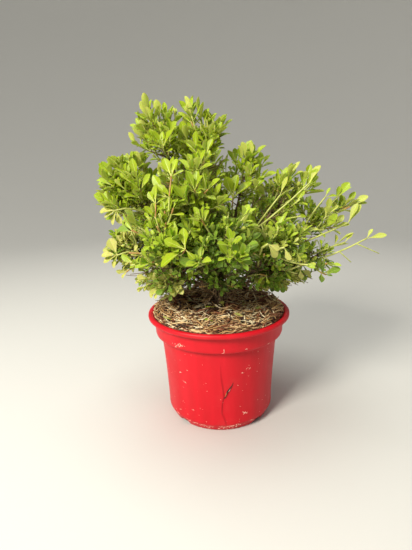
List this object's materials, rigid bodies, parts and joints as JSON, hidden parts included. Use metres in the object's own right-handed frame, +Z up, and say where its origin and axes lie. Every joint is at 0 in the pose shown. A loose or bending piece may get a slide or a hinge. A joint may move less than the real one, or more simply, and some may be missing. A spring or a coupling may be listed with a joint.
{
  "type": "potted escallonia",
  "caption": "Dense bushy escallonia shrub with small rounded leaves, wider than high and reaching out to one side, in a round tapered nursery pot topped with wood-fibre mulch.",
  "frame": {"origin": "centre of the flat underside of the pot", "axes": "+Z up, -Y towards the viewer of the picture, +X to that viewer's right, where the crown reaches furthest out"},
  "size_m": [0.3711, 0.275, 0.417],
  "materials": {
    "pot": "satin moulded plastic, a little scuffed",
    "compost": "dark, moist and crumbly",
    "mulch": "dry straw-coloured wood fibre and chips",
    "bark": "dull brown bark",
    "foliage_leaf_green": "leathery leaf with a slight sheen",
    "foliage_bright_green": "leathery leaf with a slight sheen",
    "foliage_deep_green": "leathery leaf with a slight sheen",
    "foliage_soft_green": "leathery leaf with a slight sheen"
  },
  "bodies": {
    "root": {"pot": "pot", "compost": "compost", "mulch": "mulch", "trunk": "bark", "bough_crown_left": "bark", "foliage_crown_left": "foliage_leaf_green", "bough_crown_right": "bark", "foliage_crown_right": "foliage_bright_green", "bough_shoulder_left": "bark", "foliage_shoulder_left": "foliage_deep_green", "bough_reach_upper": "bark", "foliage_reach_upper": "foliage_soft_green", "bough_front_left": "bark", "foliage_front_left": "foliage_leaf_green", "bough_front_middle": "bark", "foliage_front_middle": "foliage_bright_green", "bough_front_right": "bark", "foliage_front_right": "foliage_deep_green", "bough_back_left": "bark", "foliage_back_left": "foliage_soft_green", "bough_back_middle": "bark", "foliage_back_middle": "foliage_leaf_green", "bough_back_right": "bark", "foliage_back_right": "foliage_bright_green", "bough_crown_middle": "bark", "foliage_crown_middle": "foliage_deep_green", "bough_crown_back": "bark", "foliage_crown_back": "foliage_soft_green", "bough_crown_front": "bark", "foliage_crown_front": "foliage_leaf_green", "bough_inner": "bark", "foliage_inner": "foliage_bright_green", "bough_shoulder_right": "bark", "foliage_shoulder_right": "foliage_deep_green", "bough_side_left": "bark", "foliage_side_left": "foliage_soft_green", "bough_reach_lower": "bark", "foliage_reach_lower": "foliage_leaf_green", "bough_skirt_left": "bark", "foliage_skirt_left": "foliage_bright_green", "bough_skirt_front": "bark", "foliage_skirt_front": "foliage_deep_green", "bough_skirt_right": "bark", "foliage_skirt_right": "foliage_soft_green", "bough_skirt_back": "bark", "foliage_skirt_back": "foliage_leaf_green"}
  },
  "joints": []
}
